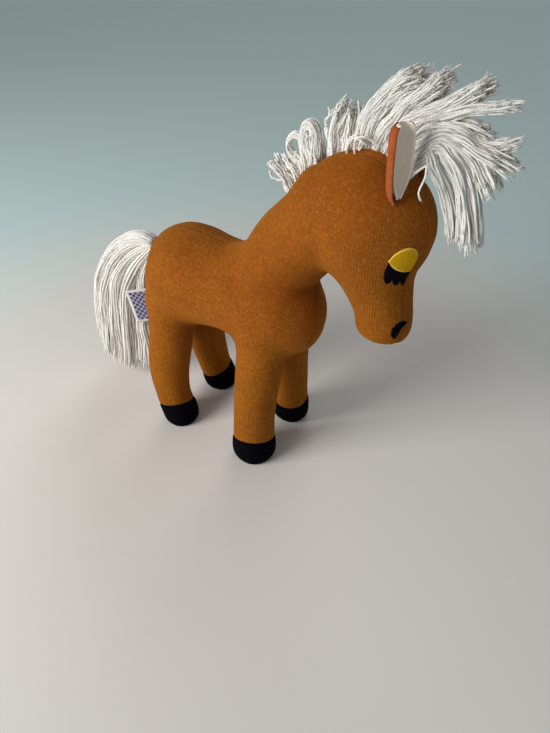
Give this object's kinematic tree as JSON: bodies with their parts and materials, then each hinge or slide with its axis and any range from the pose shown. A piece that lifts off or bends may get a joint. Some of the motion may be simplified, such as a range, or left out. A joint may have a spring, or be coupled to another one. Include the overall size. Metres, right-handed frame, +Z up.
{
  "type": "stuffed toy horse",
  "caption": "Small standing stuffed horse in brushed knit over firm filling, with capped hooves, rolled felt ears, felt sleeping eyes, and a mane and tail of yarn locks.",
  "frame": {"origin": "on the floor under the middle of the whole horse's box", "axes": "+X towards the nose, +Y towards the horse's left side, +Z up"},
  "size_m": [0.234, 0.0626, 0.2101],
  "materials": {
    "knit": "brushed knit",
    "hoof_cloth": "matte short pile",
    "filling": "loose fibre",
    "felt_yellow": "felt",
    "felt_black": "felt",
    "felt_rust": "felt",
    "felt_white": "felt",
    "yarn": "twisted yarn",
    "ribbon": "woven ribbon"
  },
  "bodies": {
    "stuffed_body": {"side_panel_left": "knit", "side_panel_right": "knit", "belly_gusset": "knit", "face_strip": "knit", "hoof_front_left": "hoof_cloth", "hoof_front_right": "hoof_cloth", "hoof_hind_left": "hoof_cloth", "hoof_hind_right": "hoof_cloth", "filling_body": "filling", "filling_neck": "filling", "filling_head": "filling", "filling_leg_front_left": "filling", "filling_leg_front_right": "filling", "filling_leg_hind_left": "filling", "filling_leg_hind_right": "filling", "eyelid_left": "felt_yellow", "eyelid_right": "felt_yellow", "lash_left": "felt_black", "lash_right": "felt_black", "nostril_left": "felt_black", "nostril_right": "felt_black", "mane_poll_lock_1": "yarn", "mane_poll_lock_2": "yarn", "mane_poll_lock_3": "yarn"},
    "mane_nape": {"mane_nape_lock_1": "yarn", "mane_nape_lock_2": "yarn", "mane_nape_lock_3": "yarn", "mane_nape_lock_4": "yarn"},
    "forelock": {"forelock_1": "yarn", "forelock_2": "yarn", "forelock_3": "yarn"},
    "right_ear": {"ear_right": "felt_rust", "ear_lining_right": "felt_white"},
    "left_ear": {"ear_left": "felt_rust", "ear_lining_left": "felt_white"},
    "tail_root": {"tail_knot": "yarn"},
    "tail_hank": {"tail_lock_1": "yarn", "tail_lock_2": "yarn", "tail_lock_3": "yarn", "tail_lock_4": "yarn", "tail_lock_5": "yarn"},
    "rear_label": {"label": "ribbon"}
  },
  "joints": [
    {"name": "tail_swing", "type": "hinge", "parent": "stuffed_body", "child": "tail_root", "pos_m": [-0.05991, 0, 0.106], "axis": [0, 0, 1], "range_deg": [-35, 3], "stiffness_Nm_per_rad": 0.003},
    {"name": "tail_lift", "type": "hinge", "parent": "tail_root", "child": "tail_hank", "pos_m": [-0.05991, 0, 0.106], "axis": [0, 1, 0], "range_deg": [0, 60]},
    {"name": "ear_right_flick", "type": "hinge", "parent": "stuffed_body", "child": "right_ear", "pos_m": [0.08234, -0.01355, 0.169], "axis": [0.5736, 0.8192, 0], "range_deg": [-4, 60], "stiffness_Nm_per_rad": 0.0006},
    {"name": "ear_left_flick", "type": "hinge", "parent": "stuffed_body", "child": "left_ear", "pos_m": [0.08234, 0.01355, 0.169], "axis": [-0.5736, 0.8192, 0], "range_deg": [-4, 60], "stiffness_Nm_per_rad": 0.0006},
    {"name": "mane_nape_lean", "type": "hinge", "parent": "stuffed_body", "child": "mane_nape", "pos_m": [0.03736, 0, 0.16466], "axis": [0.7447, 0, 0.6674], "range_deg": [-10, 10], "stiffness_Nm_per_rad": 0.004},
    {"name": "forelock_lean", "type": "hinge", "parent": "stuffed_body", "child": "forelock", "pos_m": [0.07621, 0, 0.17938], "axis": [0.7853, 0, -0.6191], "range_deg": [-10, 10], "stiffness_Nm_per_rad": 0.004},
    {"name": "label_fold", "type": "hinge", "parent": "stuffed_body", "child": "rear_label", "pos_m": [-0.05078, 0, 0.073], "axis": [-0.2156, -0.1098, 0.9703], "range_deg": [0, 24], "stiffness_Nm_per_rad": 0.0003}
  ]
}
